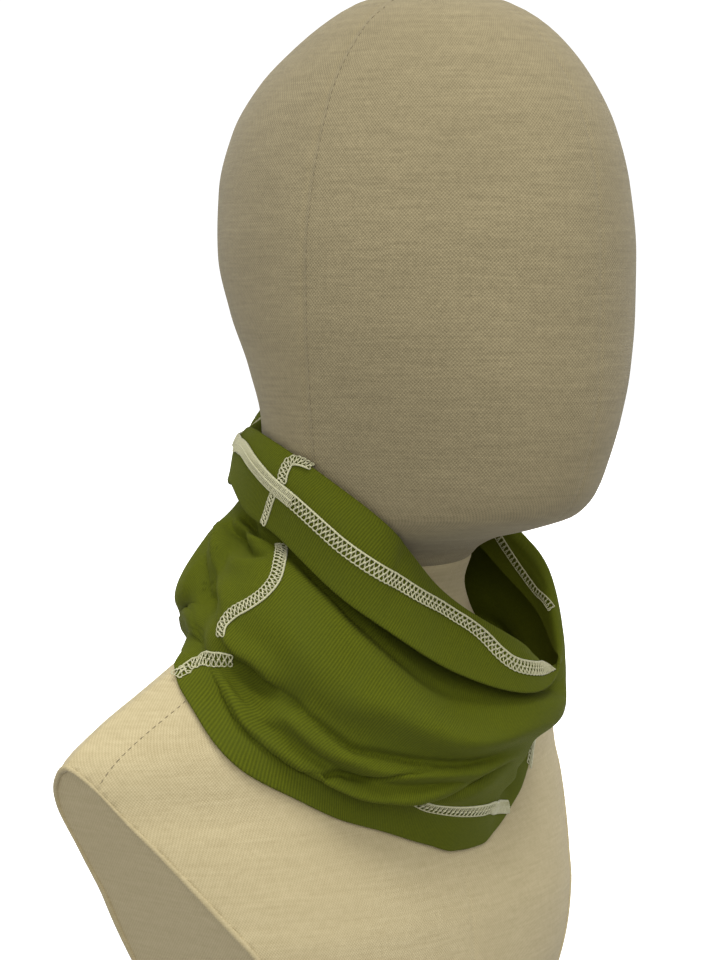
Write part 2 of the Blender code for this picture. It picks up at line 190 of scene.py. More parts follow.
def makeJersey():
    # Brushed polyester jersey, knitted: fine ribs up the tube, matt with a soft bloom at grazing angles.
    material, tree, shader = startMaterial("brushed polyester jersey", 0.92, 0.12)
    shader.inputs["Sheen Tint"].default_value = linear(jersey["sheen"])
    shader.inputs["Specular IOR Level"].default_value = 0.12
    thread = addNode(tree, "ShaderNodeUVMap", uv_map="thread")
    split = addNode(tree, "ShaderNodeSeparateXYZ", {0: thread.outputs[0]})
    waleTurn = addNode(tree, "ShaderNodeMath", {0: split.outputs[0], 1: 2 * math.pi}, operation="MULTIPLY")
    wale = addNode(tree, "ShaderNodeMath", {0: waleTurn.outputs[0]}, operation="COSINE")
    across = addNode(tree, "ShaderNodeMath", {0: split.outputs[0], 1: 0.5}, operation="PINGPONG")
    lean = addNode(tree, "ShaderNodeMath", {
        0: across.outputs[0], 1: jersey["courseLean"], 2: split.outputs[1]}, operation="MULTIPLY_ADD")
    courseTurn = addNode(tree, "ShaderNodeMath", {0: lean.outputs[0], 1: 2 * math.pi}, operation="MULTIPLY")
    course = addNode(tree, "ShaderNodeMath", {0: courseTurn.outputs[0]}, operation="COSINE")
    both = addNode(tree, "ShaderNodeMath", {
        0: course.outputs[0], 1: jersey["courseShare"], 2: wale.outputs[0]}, operation="MULTIPLY_ADD")
    place = addNode(tree, "ShaderNodeTexCoord").outputs["Object"]
    cloud = addNode(tree, "ShaderNodeTexNoise", {
        "Vector": place, "Scale": jersey["cloudScale"], "Detail": 3.0})
    fuzz = addNode(tree, "ShaderNodeTexNoise", {
        "Vector": place, "Scale": jersey["fuzzScale"], "Detail": 2.0})
    rib = addNode(tree, "ShaderNodeMapRange", {"Value": both.outputs[0], "From Min": -1.1, "From Max": 1.1})
    speck = addNode(tree, "ShaderNodeMath", {0: fuzz.outputs[0], 1: jersey["fuzzShare"], 2: rib.outputs[0]},
                    operation="MULTIPLY_ADD")
    level = addNode(tree, "ShaderNodeMapRange", {"Value": speck.outputs[0], "From Min": 0.2, "From Max": 1.6})
    yarn = addNode(tree, "ShaderNodeMix", {"Factor": level.outputs[0], 6: linear(jersey["dark"]),
                                           7: linear(jersey["light"])}, data_type="RGBA")
    share = addNode(tree, "ShaderNodeMapRange", {"Value": cloud.outputs[0], "From Min": 0.35,
                                                 "From Max": 0.75, "To Max": 0.45})
    dyed = addNode(tree, "ShaderNodeMix", {"Factor": share.outputs[0], 6: yarn.outputs[2],
                                           7: linear(jersey["patch"])}, data_type="RGBA")
    finishMaterial(tree, shader, dyed, speck, jersey["bump"], jersey["bumpHeight"])
    return material


sewingThread = {"plyScale": 1600.0, "bump": 0.4, "bumpHeight": 0.1}


def makeThread(name, light, dark):
    # Spun sewing thread: soft, slightly glossy plies.
    material, tree, shader = startMaterial(name, 0.6, 0.15)
    place = addNode(tree, "ShaderNodeTexCoord").outputs["Object"]
    ply = addNode(tree, "ShaderNodeTexNoise", {
        "Vector": place, "Scale": sewingThread["plyScale"], "Detail": 2.0})
    mix = addNode(tree, "ShaderNodeMix", {"Factor": ply.outputs[0], 6: linear(dark), 7: linear(light)},
                  data_type="RGBA")
    finishMaterial(tree, shader, mix, ply, sewingThread["bump"], sewingThread["bumpHeight"])
    return material


canvas = {
    "slubScale": 420.0, "cloudScale": 14.0,
    "weft": (55.0, 55.0, 800.0), "weftShare": 1.9, "slubShare": 1.6,  # weft threads lie level round the form
    "bumpHeight": 0.2,
}


def makeCanvas(name, light, dark, pitch, depth):
    # Plain-woven cotton canvas: matt, over-and-under threads with slubs. UV is in mm, and so is the pitch.
    material, tree, shader = startMaterial(name, 0.92, 0.1)
    shader.inputs["Specular IOR Level"].default_value = 0.3
    thread = addNode(tree, "ShaderNodeUVMap", uv_map="thread")
    split = addNode(tree, "ShaderNodeSeparateXYZ", {0: thread.outputs[0]})
    waves = []
    for axis in (0, 1):
        turn = addNode(tree, "ShaderNodeMath", {0: split.outputs[axis], 1: math.pi / pitch},
                       operation="MULTIPLY")
        waves.append(addNode(tree, "ShaderNodeMath", {0: turn.outputs[0]}, operation="SINE"))
    check = addNode(tree, "ShaderNodeMath", {0: waves[0].outputs[0], 1: waves[1].outputs[0]},
                    operation="MULTIPLY")
    place = addNode(tree, "ShaderNodeTexCoord").outputs["Object"]
    slub = addNode(tree, "ShaderNodeTexNoise", {
        "Vector": place, "Scale": canvas["slubScale"], "Detail": 3.0})
    cloud = addNode(tree, "ShaderNodeTexNoise", {
        "Vector": place, "Scale": canvas["cloudScale"], "Detail": 2.0})
    along = addNode(tree, "ShaderNodeVectorMath", {0: place, 1: canvas["weft"]}, operation="MULTIPLY")
    weft = addNode(tree, "ShaderNodeTexNoise", {"Vector": along.outputs[0], "Scale": 1.0, "Detail": 2.0})
    both = addNode(tree, "ShaderNodeMath", {0: weft.outputs[0], 1: canvas["weftShare"], 2: check.outputs[0]},
                   operation="MULTIPLY_ADD")
    rough = addNode(tree, "ShaderNodeMath", {0: slub.outputs[0], 1: canvas["slubShare"], 2: both.outputs[0]},
                    operation="MULTIPLY_ADD")
    level = addNode(tree, "ShaderNodeMapRange", {"Value": rough.outputs[0], "From Min": 0.4, "From Max": 3.6})
    mix = addNode(tree, "ShaderNodeMix", {"Factor": level.outputs[0], 6: linear(dark), 7: linear(light)},
                  data_type="RGBA")
    worn = addNode(tree, "ShaderNodeMapRange", {"Value": cloud.outputs[0], "From Min": 0.3, "From Max": 0.7,
                                                "To Max": 0.25})
    soft = addNode(tree, "ShaderNodeMix", {"Factor": worn.outputs[0], 6: mix.outputs[2], 7: linear(dark)},
                   data_type="RGBA")
    finishMaterial(tree, shader, soft, rough, depth, canvas["bumpHeight"])
    return material


jerseyKnit = makeJersey()
netThread = makeThread("cream polyester thread", "#d3d0ab", "#9f9c76")
khakiThread = makeThread("khaki cotton thread", "#8d7f5d", "#5e5439")
faceCanvas = makeCanvas("khaki cotton canvas", "#ad9f7a", "#7c7154", 0.75, 0.35)
bustCanvas = makeCanvas("beige cotton canvas", "#cdbf97", "#a99a73", 0.7, 0.25)
print("materials made")

# ---- display form, from its level sections: height, half width, middle, front, back, and how hollow its
# front and its back are (1 is an ellipse)
formTable = np.array([
    (0, 108, -8, 62, -60, 1, 1), (30, 122, -8, 66, -65, 1, 1), (52, 130, -8, 65, -68, 1.1, 1),
    (65, 133, -8, 62, -70, 1.2, 1), (84, 141, -12, 55, -72, 1.33, 1), (97, 147, -16, 50, -72, 1.47, 1),
    (106, 151, -20, 47, -69, 1.6, 1), (116, 154, -22, 45, -65, 1.7, 1.1), (128, 149, -21, 43, -60, 1.7, 1.2),
    (140, 134, -20, 41, -56, 1.7, 1.33), (152, 113, -18, 39, -52, 1.65, 1.33),
    (166, 88, -14, 37, -47, 1.47, 1.2),
    (176, 70, -8, 36.5, -43, 1.2, 1.1), (186, 56, -2, 37.5, -41, 1, 1), (196, 49, 4, 41, -40, 1, 1),
    (206, 48.5, 9, 47, -39.5, 1, 1), (213, 49.5, 12, 62, -39, 1, 1), (219, 51, 14, 88, -38.5, 1, 1),
    (226, 53.5, 17, 110, -37.5, 1, 1), (235, 57, 20, 119, -35.5, 1, 1), (248, 61.5, 25, 124, -32.5, 1, 1),
    (265, 67, 31, 128, -31, 1, 1), (285, 72.5, 35, 130.5, -37, 1, 1), (308, 76, 38, 131, -50, 1, 1),
    (332, 76.5, 39, 131, -59.5, 1, 1), (360, 73.5, 39, 128.5, -61, 1, 1), (384, 67.5, 39, 122.5, -55, 1, 1),
    (404, 59.5, 39, 112, -40, 1, 1), (418, 50.5, 39, 101, -22, 1, 1), (429, 40, 39, 88, -5, 1, 1),
    (436, 29, 39, 74, 8, 1, 1), (440, 17, 39, 60, 20, 1, 1)], float)
form = {
    "crownFront": 39.0, "crownHeight": 441.5,
    "capTopHalf": 143.0, "capTopHeight": 119.0, "capSlope": 0.64,  # flat cuts where the arms would start
    "capStretch": 1.15, "levelTo": 120.0,  # rows below this height are level
    "ringFront": 44.0, "ringHeight": 202.0, "ringSlope": 0.2126,  # the seam round the neck
    "ringGroove": 0.7, "ringGrooveWidth": 1.2, "neckMiddle": 3.0,
    "sideGroove": 0.45, "faceGroove": 0.27, "seamWidth": 1.3,
    "headFrom": 190.0, "headFade": 10.0, "headMiddle": 30.0, "faceFrom": 60.0,
    "rowHeight": 3.2,
    "high": 440.0,  # the top row, just below the crown
}


def formSection(height, angle):  # x and distance in front of the neck's axis; height and angle are arrays
    half, middle, front, back, powerFront, powerBack = monotone(
        formTable[:, 0], formTable[:, 1:], np.ravel(height)).T.reshape(6, *np.shape(height))
    c = np.cos(angle)
    depth = np.where(c > 0, front - middle, middle - back)
    bent = np.sign(c) * np.abs(c) ** np.where(c > 0, powerFront, powerBack)
    return half * np.sin(angle), middle + depth * bent


def radiusTable():  # the form's radius from the neck's axis, each mm up and each half degree round
    fine = np.linspace(0, 2 * math.pi, 1440, endpoint=False)
    places = np.arange(720) / 2
    table = []
    for height in range(int(form["high"]) + 1):
        x, front = formSection(np.full(len(fine), min(height, form["high"] - 0.1)), fine)
        cut = form["capTopHalf"] + (height - form["capTopHeight"]) * form["capSlope"]
        x = np.clip(x, -cut, cut)
        place = np.degrees(np.arctan2(-x, front)) % 360
        order = np.argsort(place)
        table.append(np.interp(places, place[order], np.hypot(x, front)[order], period=360))
    return np.array(table)


formRadii = radiusTable()


def formRadius(around, height):
    height, around = np.clip(height, 0, form["high"] - 1.1), (np.asarray(around) % 360) * 2
    count = formRadii.shape[1]
    low, left = height.astype(int), around.astype(int) % count
    right, up, over = (left + 1) % count, height - low, around - np.floor(around)
    return ((formRadii[low, left] * (1 - over) + formRadii[low, right] * over) * (1 - up)
            + (formRadii[low + 1, left] * (1 - over) + formRadii[low + 1, right] * over) * up)


def clearRadius(around, height, clearance):
    radius = formRadius(around, height)
    up = (formRadius(around, height + 2) - formRadius(around, height - 2)) / 4
    across = (formRadius(around + 2, height) - formRadius(around - 2, height)) / (math.radians(4) * radius)
    return radius + clearance * np.sqrt(1 + up**2 + across**2)


# ---- cloth: rings from the rim down to the hem's stitching, with radius and height at each of these angles
roundAt = np.array((-43, -36, -28, -13, 17, 47, 77, 92, 107, 137, 167, 182, 197, 227, 257, 272, 287, 302),
                   float)
rimTurn = 8.0  # the rim is pulled round by this much
ringClearance = (2.5, 2.5, 2.2, 2.2, 4, 6, 6, 5, 5, 4, 4.5, 3)
ringRadii = np.array([
    (84, 85.5, 86.5, 87, 79, 80, 70, 66, 61.5, 55.5, 62, 64, 58, 46, 60, 67, 73, 80),
    (87.5, 84.8, 81.5, 79, 64, 74, 62, 57, 52, 47, 44, 45, 48, 60, 70, 75, 80, 85.5),
    (88.2, 85.8, 79.5, 75.5, 60, 70, 59, 54, 49, 43, 41, 43, 49, 62, 73, 78, 83, 87.5),
    (88.5, 86.8, 80.5, 73, 55, 54, 55, 51, 47, 42, 41, 43, 50, 64, 76, 81.5, 86, 88.5),
    (88.5, 88, 85.5, 79, 66, 64, 62, 60, 57, 53, 52, 51, 53, 68, 80, 85, 88, 89),
    (88.5, 88.5, 88.5, 86, 80, 76, 70, 69, 68, 66, 64, 64, 65, 76, 86, 89, 90, 89.5),
    (87.5, 88, 88.5, 88, 87, 86, 84, 82, 80, 76.5, 73, 73, 74, 82, 86, 90, 90, 88.5),
    (74, 75, 76, 78, 79, 82, 88, 90.5, 80, 76, 72, 72, 73, 80.5, 85, 91, 88, 79),
    (69, 71, 73, 77, 82, 84, 88, 90.5, 80, 75, 70.5, 70.5, 71.5, 79, 84.5, 92, 87, 75.5),
    (66, 68, 69, 75, 77, 77, 87, 90.5, 80, 74, 68.5, 68.5, 69.5, 77.5, 84.3, 93, 86.8, 72.5),
    (64, 66, 68, 73.5, 78, 80, 89, 91, 80.3, 72.5, 66, 66, 67, 75.5, 84.3, 94.5, 87.5, 71.5),
    (62, 62, 62, 64, 66, 70, 88, 91.5, 80.8, 69.5, 61, 61, 62, 72, 84.6, 96, 88.5, 72)], float)
ringHeights = np.array([
    (163, 161, 156, 151.5, 162.5, 189, 219, 226.5, 236.5, 235, 244, 262, 280, 262, 226, 210, 193, 178),
    (161, 157, 158, 169.5, 195.5, 231.5, 254, 258.5, 259.5, 258.5, 263, 265, 264, 256, 242, 228.5, 212,
     194.5),
    (154.5, 150, 151, 160, 186.5, 222.5, 245, 249.5, 250.5, 249.5, 254, 256, 257, 248, 232, 218, 202, 184),
    (151.5, 147.5, 148.5, 153, 172.5, 204, 229, 235, 237.5, 237, 242, 242.5, 242.5, 234, 218, 207, 194,
     176),
    (149, 145.5, 146, 149.5, 159, 185.5, 212.5, 220.5, 225, 225, 230, 229, 228, 220, 204, 196, 186, 169),
    (146, 143.5, 144, 145, 144, 178.5, 209.5, 213.5, 215.5, 209.5, 204, 203, 202, 198, 194, 184, 172, 160),
    (141, 139, 138.5, 137.5, 135, 157.5, 191, 193.5, 188.5, 176, 176, 176, 177, 180, 183, 177, 160, 144),
    (128, 127, 126, 126.5, 124, 131.5, 163.5, 173.5, 185, 171, 169, 169, 170, 174, 180.5, 171, 152, 132.5),
    (122, 121, 120, 123, 120.5, 127, 155.5, 172, 183, 169.5, 166.5, 166, 167, 171.5, 178.8, 168.5, 147.5,
     127.5),
    (117, 116, 114, 120.5, 117, 120, 147.5, 170.5, 181, 168, 164.5, 164, 165, 169.5, 177.3, 166.5, 143.5,
     123.5),
    (112, 111, 110, 118, 113, 113, 143, 169, 179, 166.5, 162.5, 162, 163, 167.5, 175.7, 164, 139.5, 120),
    (111, 108, 104.8, 99.9, 103.8, 115.5, 139.5, 167.5, 176.5, 164.5, 159.5, 159, 160, 164.5, 173.5, 161,
     134, 115.5)], float)
hemEdge = np.array([(-0.01, 83.5), (10, 84), (21, 87.5), (31, 91), (42, 95.5), (59, 103), (72, 114),
                    (80, 123.5), (86, 135), (92, 147), (98.5, 157), (104, 164), (110, 168), (122, 167),
                    (142, 160), (172, 154), (180, 153.5)], float)  # height, by the angle from the lowest
cloth = {
    "hemLowest": -5.0, "hemLeftSteeper": 1.17, "hemClearance": 1.8, "leastClearance": 1.7,
    "hemDepth": 19.0, "hemWall": 1.5, "bodyWall": 1.1, "crestRadius": 2.2,
    "ringEasing": 2.0, "lineEasing": 0.55,
    "rows": (14, 5, 5, 7, 7, 9, 20, 30, 30, 9, 10, 10, 14, 16),  # from each ring to the next
    "meanRadius": 78.0, "foldPasses": 6, "wallPasses": 8,  # passes that even out the wall's directions
    "seamPress": 0.35, "seamWidth": 1.8,  # how deep, and how widely, the stitching draws the cloth in
    "flat": (0.52, 0.16),  # cut size of what shows, the width all round the tube
}
# Places round, closest where the finest folds are.
columns = np.concatenate([np.arange(-66, -12, 1.1), np.arange(-12, 28, 1.8), np.arange(28, 112, 0.8),
                          np.linspace(112, 294, 58, endpoint=False)])
troughs = (  # places (round, height) along each, half width, depth
    (((97, 228), (96.5, 208), (97, 169)), 7.0, 5.0),
    (((92, 226), (84, 219), (77, 215)), 4.5, 2.5),
    (((82, 165), (75, 158), (67, 151)), 6.0, 3.5),
)
creasing = {"steps": 40, "reach": 1.4, "fade": 0.6}  # reach: how many places beyond its line a fold is felt
# Finer folds: places (round, place) along each, half width above and below it, depth (a ridge is below 0).
folds = (
    # pleats pinched together under the flap
    (((104, 6.1), (98, 6.3), (92, 6.4), (86, 6.32), (79, 6.2)), 1.8, 1.8, 4.2),
    (((106, 6.35), (99, 6.6), (92, 6.74), (86, 6.76), (79.5, 6.66)), 1.8, 1.4, -2.4),
    (((108, 6.5), (101.5, 6.74), (94, 6.98), (88.7, 7.06), (84.1, 7.1), (79, 7.05)), 1.8, 3.4, 5.4),
    (((106, 7.1), (98, 7.3), (91, 7.4), (85, 7.36), (78.5, 7.25)), 2.2, 4.5, -2.0),
    # long pleat down the right side: the front panel lies over the back one
    (((117, 6.6), (110, 6.9), (104, 7.2), (100.5, 7.5), (95.5, 7.8), (89, 8.08), (85.5, 8.36)),
     5.5, 2.4, -3.4),
    (((119, 6.95), (113, 7.15), (108, 7.4), (104, 7.66), (100.5, 8.0), (95, 8.26), (89, 8.56)),
     2.4, 5.0, 3.0),
    # overhanging fold and the hollow below it
    (((86.5, 8.5), (84, 8.72), (80.9, 8.8), (77, 8.8), (73.1, 8.86), (70.1, 9.0)), 4.5, 1.1, -4.2),
    (((84.3, 9.3), (81, 9.25), (78.8, 9.3), (76, 9.45), (73.3, 9.35), (70.4, 9.12)), 1.8, 3.6, 6.0),
    (((88, 12.0), (82, 11.6), (75, 11.0), (69, 10.3)), 3.0, 3.0, -1.8),
    # roll that fills out behind it, over the shoulder
    (((96, 11.6), (103, 11.0), (110, 10.6), (118, 10.2), (128, 9.8)), 5.0, 5.0, -3.2),
    # crease that runs on from it, and the roll on each side
    (((71, 8.98), (65.5, 9.03), (58.8, 8.99), (53.8, 8.99), (48.9, 9.0), (42, 8.92), (35.1, 8.89),
      (26, 8.9), (14, 8.95), (0, 8.95)), 2.0, 1.6, 3.8),
    (((70, 9.6), (62, 10.1), (54, 10.2), (46, 9.8)), 2.6, 2.4, -1.3),
    (((66, 8.0), (57, 8.4), (48, 8.3), (38, 8.0), (26, 7.9), (12, 7.9)), 7.0, 6.0, -1.6),
    # wedge of shadow below the flap, and the lit ridge beside it
    (((75, 6.3), (66, 6.3), (57, 6.3), (47, 6.35), (36, 6.4), (22, 6.4), (8, 6.4)), 2.5, 6.0, 2.4),
    (((76, 6.75), (66, 7.0), (58, 7.0), (50, 7.2), (42, 7.3), (34, 7.4)), 4.5, 5.0, -1.9),
    # slit between the two lowest rolls
    (((62, 12.3), (58, 11.8), (54, 11.22), (47.3, 11.0), (40.8, 10.6), (34.4, 10.05), (26.9, 9.2)),
     1.4, 1.4, 4.8),
    # lip of the lowest roll, and the crease between it and the hem
    (((86, 11.6), (81.5, 12.0), (76.8, 12.3), (71.8, 12.55), (68.2, 12.7), (62, 12.6), (53, 12.5),
      (44.5, 12.3)), 3.0, 1.2, -2.0),
    (((88, 12.6), (82, 12.75), (76.8, 12.95), (71.8, 13.05), (66, 13.1), (60, 13.1), (50, 13.1),
      (42, 13.0)), 1.3, 1.6, 3.2),
    (((35.8, 12.0), (30, 12.1), (22.5, 11.8), (15, 11.3), (8.5, 10.2), (-2.5, 9.6)), 4.0, 1.6, -1.8),
    (((30, 12.7), (22, 12.4), (14, 12.1), (4, 11.7), (-8, 11.1)), 1.8, 3.6, 3.4),
)


def allRound(values, at):
    x = np.concatenate([roundAt[-3:] - 360, roundAt, roundAt[:3] + 360])
    y = np.concatenate([values[-3:], values, values[:3]])
    return hermite(x, y, np.gradient(y, x), (at - roundAt[0]) % 360 + roundAt[0])


def hemHeight(around):
    fromLowest = (around - cloth["hemLowest"] + 180) % 360 - 180
    steeper = np.interp(-fromLowest, [0, 50, 120, 180], [1, *[cloth["hemLeftSteeper"]] * 2, 1])
    away = np.where(fromLowest < 0, np.minimum(-fromLowest * steeper, 180), fromLowest)
    return monotone(hemEdge[:, 0], hemEdge[:, 1], away)


def neverLess(radius, least, easing):
    return (radius + least + np.sqrt((radius - least) ** 2 + easing**2)) / 2


def ringPoints(around, radius, height, clearance):
    radius = neverLess(radius, clearRadius(around, height, clearance), cloth["ringEasing"])
    turn = np.radians(around)
    return np.stack([-radius * np.sin(turn), -radius * np.cos(turn), height], -1)


def controlRings():
    rings = []
    for k, clearance in enumerate(ringClearance):
        around = columns + (rimTurn if k == 0 else 0)
        radius, height = allRound(ringRadii[k], around), allRound(ringHeights[k], around)
        rings.append(ringPoints(around, radius, height, clearance))
    rings.append(ringPoints(columns, 0 * columns, hemHeight(columns), cloth["hemClearance"]))
    rim, crest, collar = rings[:3]
    out, down = unit(rim - crest), unit(collar - crest)
    outer = crest + cloth["crestRadius"] * (unit(out - down) + (out + down) / 2)
    inner = crest + cloth["crestRadius"] * (-unit(out - down) + (out + down) / 2)
    return np.array([rim, outer, crest, inner, *rings[2:]])


def alongCloth(rings):
    apart = np.linalg.norm(np.diff(rings, axis=0), axis=-1)
    at = np.concatenate([np.zeros((1, len(columns))), np.cumsum(np.maximum(apart, 0.5), axis=0)])
    tangent = np.stack([np.gradient(rings[:, k], at[:, k], axis=0) for k in range(len(columns))], 1)
    lines, places = [], []
    for k, rows in enumerate(cloth["rows"]):
        t = (np.arange(rows) / rows)[:, None, None]
        gap = (at[k + 1] - at[k])[None, :, None]
        lines.append(bend(t, gap, rings[k], tangent[k], rings[k + 1], tangent[k + 1]))
        places.append(k + t.ravel())
    return np.concatenate([*lines, rings[-1:]]), np.concatenate([*places, [len(rings) - 1]])


def keepClear(points):
    around = np.degrees(np.arctan2(-points[..., 0], -points[..., 1]))
    radius = np.hypot(points[..., 0], points[..., 1])
    least = clearRadius(around, points[..., 2], cloth["leastClearance"])
    points[..., :2] *= (neverLess(radius, least, cloth["lineEasing"]) / radius)[..., None]
    return points


def pressTroughs(lines, places):
    around = np.degrees(np.arctan2(-lines[..., 0], -lines[..., 1])) % 360
    radius = np.hypot(lines[..., 0], lines[..., 1])
    flat = np.stack([np.radians(around) * cloth["meanRadius"], lines[..., 2]], -1)
    # none of it on the flap, or below a height of 140 mm
    keep = np.interp(places, (5, 7), (0, 1))[:, None] * np.interp(lines[..., 2], (140, 150), (0, 1))
    for path, halfWidth, depth in troughs:
        line = np.array(path, float)
        line[:, 0] = np.radians(line[:, 0]) * cloth["meanRadius"]
        nearest = np.full(radius.shape, np.inf)
        for a, b in zip(line, line[1:]):
            t = np.clip(((flat - a) @ (b - a)) / ((b - a) @ (b - a)), 0, 1)
            nearest = np.minimum(nearest, np.linalg.norm(flat - a - t[..., None] * (b - a), axis=-1))
        lines[..., :2] *= (1 - depth * np.exp(-((nearest / halfWidth) ** 2)) * keep / radius)[..., None]
    return lines


def evenNormals(lines, passes):
    across = np.roll(lines, -1, axis=1) - np.roll(lines, 1, axis=1)
    square = unit(np.cross(across, np.gradient(lines, axis=0)))
    for _ in range(passes):  # evened out, so that the wall's sides don't cross in a tight fold
        square = unit(square + (np.roll(square, -1, axis=1) + np.roll(square, 1, axis=1)) / 2)
        square[1:-1] = unit(square[1:-1] + (square[2:] + square[:-2]) / 2)
    return square


def onGrid(values, places, around, place):
    # values on the cloth's grid, read at (round, place)
    column = np.interp((np.asarray(around) - columns[0]) % 360 + columns[0],
                       np.append(columns, columns[0] + 360), np.arange(len(columns) + 1))
    row = np.interp(place, places, np.arange(len(places)))
    i, k = np.minimum(row.astype(int), len(places) - 2), column.astype(int) % len(columns)
    s, t, n = (row - i)[:, None], (column - np.floor(column))[:, None], (k + 1) % len(columns)
    return ((values[i, k] * (1 - t) + values[i, n] * t) * (1 - s)
            + (values[i + 1, k] * (1 - t) + values[i + 1, n] * t) * s)


def pressFolds(lines, places):
    square = evenNormals(lines, cloth["foldPasses"])
    moved = np.zeros(lines.shape[:2])
    for path, above, below, depth in folds:
        course = smoothPath(path, creasing["steps"])
        spots = onGrid(lines, places, course[:, 0], course[:, 1])
        first, last = course[:, 1].min() - creasing["reach"], course[:, 1].max() + creasing["reach"]
        reach = (places > first) & (places < last)
        apart = np.linalg.norm(lines[reach][:, :, None] - spots, axis=-1)
        nearest = apart.argmin(-1)
        fade = np.sin(np.pi * (nearest + 0.5) / creasing["steps"]) ** creasing["fade"]
        halfWidth = np.where(places[reach][:, None] < course[nearest, 1], above, below)
        moved[reach] += depth * fade * np.exp(-((apart.min(-1) / halfWidth) ** 2))
    return lines - square * moved[..., None]


clothLines, clothPlaces = alongCloth(controlRings())
clothLines = keepClear(pressFolds(pressTroughs(clothLines, clothPlaces), clothPlaces))
clothNormals = evenNormals(clothLines, cloth["wallPasses"])  # outwards on the body, inwards on the flap
clothLength = np.linalg.norm(np.diff(clothLines, axis=0), axis=-1).cumsum(axis=0)
clothLength = np.concatenate([np.zeros((1, len(columns))), clothLength])
print("cloth shaped,", clothLines.shape)


waleDrift = {  # how far the wales lean over, in mm at each place: most where the cloth bags out
    "places": (0, 1, 6, 7, 8, 9, 10, 11, 12, 14),
    "drift": (0, -9, -9, -3, 7, 19.5, 24, 29, 32, 34),
    "roundLength": 524.0,
}


def buildCloth():
    whole = clothLength[-1]
    fromEdge = np.minimum(clothLength, whole - clothLength)
    thick = cloth["bodyWall"] + (cloth["hemWall"] - cloth["bodyWall"]) * (fromEdge < cloth["hemDepth"])
    thick -= 2 * cloth["seamPress"] * np.exp(-((fromEdge - cloth["hemDepth"]) / cloth["seamWidth"]) ** 2)
    half = (thick / 2)[..., None]
    outer, inner = clothLines + clothNormals * half, clothLines - clothNormals * half
    layers = [outer]
    for row, before in ((-1, -2), (0, 1)):  # rounded edge, first at the bottom and then at the rim
        beyond = unit(clothLines[row] - clothLines[before])
        side = 1 if row == -1 else -1
        for angle in (45, 90, 135):
            a = math.radians(angle)
            turned = beyond * math.sin(a) + side * clothNormals[row] * math.cos(a)
            layers.append((clothLines[row] + half[row] * turned)[None])
        if row == -1:
            layers.append(inner[::-1])
    points = np.concatenate(layers)
    drift = np.interp(clothPlaces, waleDrift["places"], waleDrift["drift"]) / waleDrift["roundLength"]
    turn = np.append(columns, columns[0] + 360) / 360
    u = (turn[None] - drift[:, None]) * jersey["walesRound"]
    v = np.concatenate([clothLength, clothLength[:, :1]], 1) / jersey["courseLength"]
    uv = np.stack([u + 0 * v, v], -1)
    uv = np.concatenate([uv, np.repeat(uv[-1:], 3, 0), uv[::-1], np.repeat(uv[:1], 3, 0)])
    mesh = gridMesh("neckWarmerCloth", points, uv, closedDown=True)
    return plainObject("neckWarmerCloth", mesh, jerseyKnit)


neckWarmer = buildCloth()
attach(neckWarmer, "root")
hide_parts("tube_body", "top_hem", "bottom_hem")
print("cloth built,", len(neckWarmer.data.polygons), "faces")


# ---- rows of stitching
def guide(name, points, square, pitch):
    # A line of points the same distance apart, each with the directions that a stitch lies in.
    run = runAlong(points)
    at = np.linspace(0, run[-1], max(3, round(run[-1] / pitch)))
    spots, up = readAlong(at, run, points), unit(readAlong(at, run, square))
    along = unit(np.gradient(spots, axis=0))
    up = unit(up - along * (up * along).sum(-1, keepdims=True))
    mesh = bpy.data.meshes.new(name)
    mesh.from_pydata((spots * mm + (0, neckY, 0)).tolist(), [(k, k + 1) for k in range(len(at) - 1)], [])
    for label, values in (("along", along), ("square", up), ("across", np.cross(up, along))):
        mesh.attributes.new(label, "FLOAT_VECTOR", "POINT").data.foreach_set("vector", values.ravel())
    return newObject(name, mesh)


def newTree(name, *sizes):
    tree = bpy.data.node_groups.new(name, "GeometryNodeTree")
    tree.interface.new_socket("Geometry", in_out="OUTPUT", socket_type="NodeSocketGeometry")
    tree.interface.new_socket("Geometry", in_out="INPUT", socket_type="NodeSocketGeometry")
    for label in sizes:
        tree.interface.new_socket(label, in_out="INPUT", socket_type="NodeSocketFloat")
    tree.interface.new_socket("Material", in_out="INPUT", socket_type="NodeSocketMaterial")
    return tree, addNode(tree, "NodeGroupInput").outputs


def layStitches(tree, given, stitch, edges=()):
    # One stitch on each point of the guide line, turned as the line's own directions say.
    square, along = [addNode(tree, "GeometryNodeInputNamedAttribute", {"Name": label},
                             data_type="FLOAT_VECTOR").outputs[0] for label in ("square", "along")]
    turn = addNode(tree, "FunctionNodeAxesToRotation", {0: square, 1: along}, primary_axis="Z",
                   secondary_axis="X")
    placed = addNode(tree, "GeometryNodeInstanceOnPoints", {
        "Points": given["Geometry"], "Instance": stitch.outputs[0], "Rotation": turn.outputs[0]})
    joined = addNode(tree, "GeometryNodeJoinGeometry")
    for part in (placed, *edges):
        tree.links.new(part.outputs[0], joined.inputs[0])
    soft = addNode(tree, "GeometryNodeSetShadeSmooth", {0: joined.outputs[0]})
    real = addNode(tree, "GeometryNodeRealizeInstances", {0: soft.outputs[0]})
    dressed = addNode(tree, "GeometryNodeSetMaterial", {"Geometry": real.outputs[0],
                                                        "Material": given["Material"]})
    addNode(tree, "NodeGroupOutput", {0: dressed.outputs[0]})
    return tree


nets = {
    "pitch": 2.25, "width": 5.9, "lobe": 1.18, "thread": 0.33, "needle": 0.46,
    "lowerEdge": 0.46, "upperEdge": 0.2, "densePitch": 0.8, "lift": 0.1,
    "steps": 16, "smoothing": 12, "edgeAt": 0.47,  # share of the width, out from the middle
}


